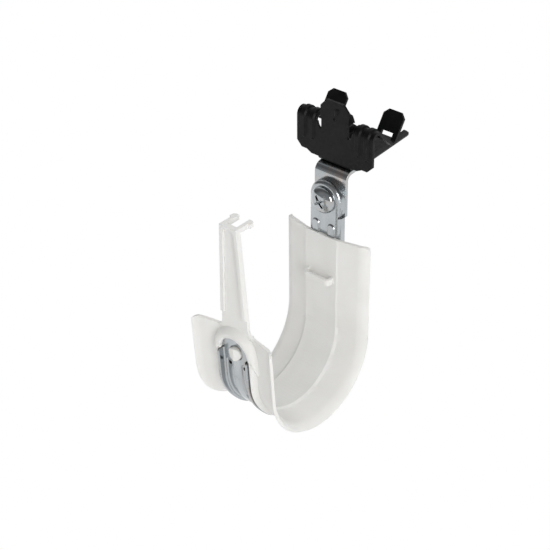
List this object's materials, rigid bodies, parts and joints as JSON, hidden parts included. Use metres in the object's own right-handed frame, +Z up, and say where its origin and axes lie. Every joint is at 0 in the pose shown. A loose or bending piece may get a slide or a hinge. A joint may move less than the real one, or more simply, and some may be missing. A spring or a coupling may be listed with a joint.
{
  "type": "j hook cable support",
  "caption": "Wide J-shaped plastic saddle with a fold-over retaining arm on a steel strip, hung from an angle bracket and a spring-steel clip for a beam flange.",
  "frame": {"origin": "where the underside of a beam's flange rests on the clip's side flanges, midway between them and straight below the bend of the jaws' teeth", "axes": "+X along the cables, +Y from the retaining arm to the back, the way the clip opens, +Z up"},
  "size_m": [0.0448, 0.0992, 0.1309],
  "materials": {
    "saddle": "white moulded plastic, satin",
    "j_strip": "bright zinc-plated pressed steel",
    "angle_bracket": "bright zinc-plated bent steel",
    "pan_screw": "bright zinc-plated",
    "hex_nut": "bright zinc-plated",
    "beam_clip": "near-black coated spring steel, satin",
    "clip_rivet": "dull plated steel"
  },
  "bodies": {
    "root": {"saddle": "saddle", "j_strip": "j_strip", "angle_bracket": "angle_bracket", "pan_screw": "pan_screw", "hex_nut": "hex_nut", "beam_clip": "beam_clip", "clip_rivet": "clip_rivet"}
  },
  "joints": []
}
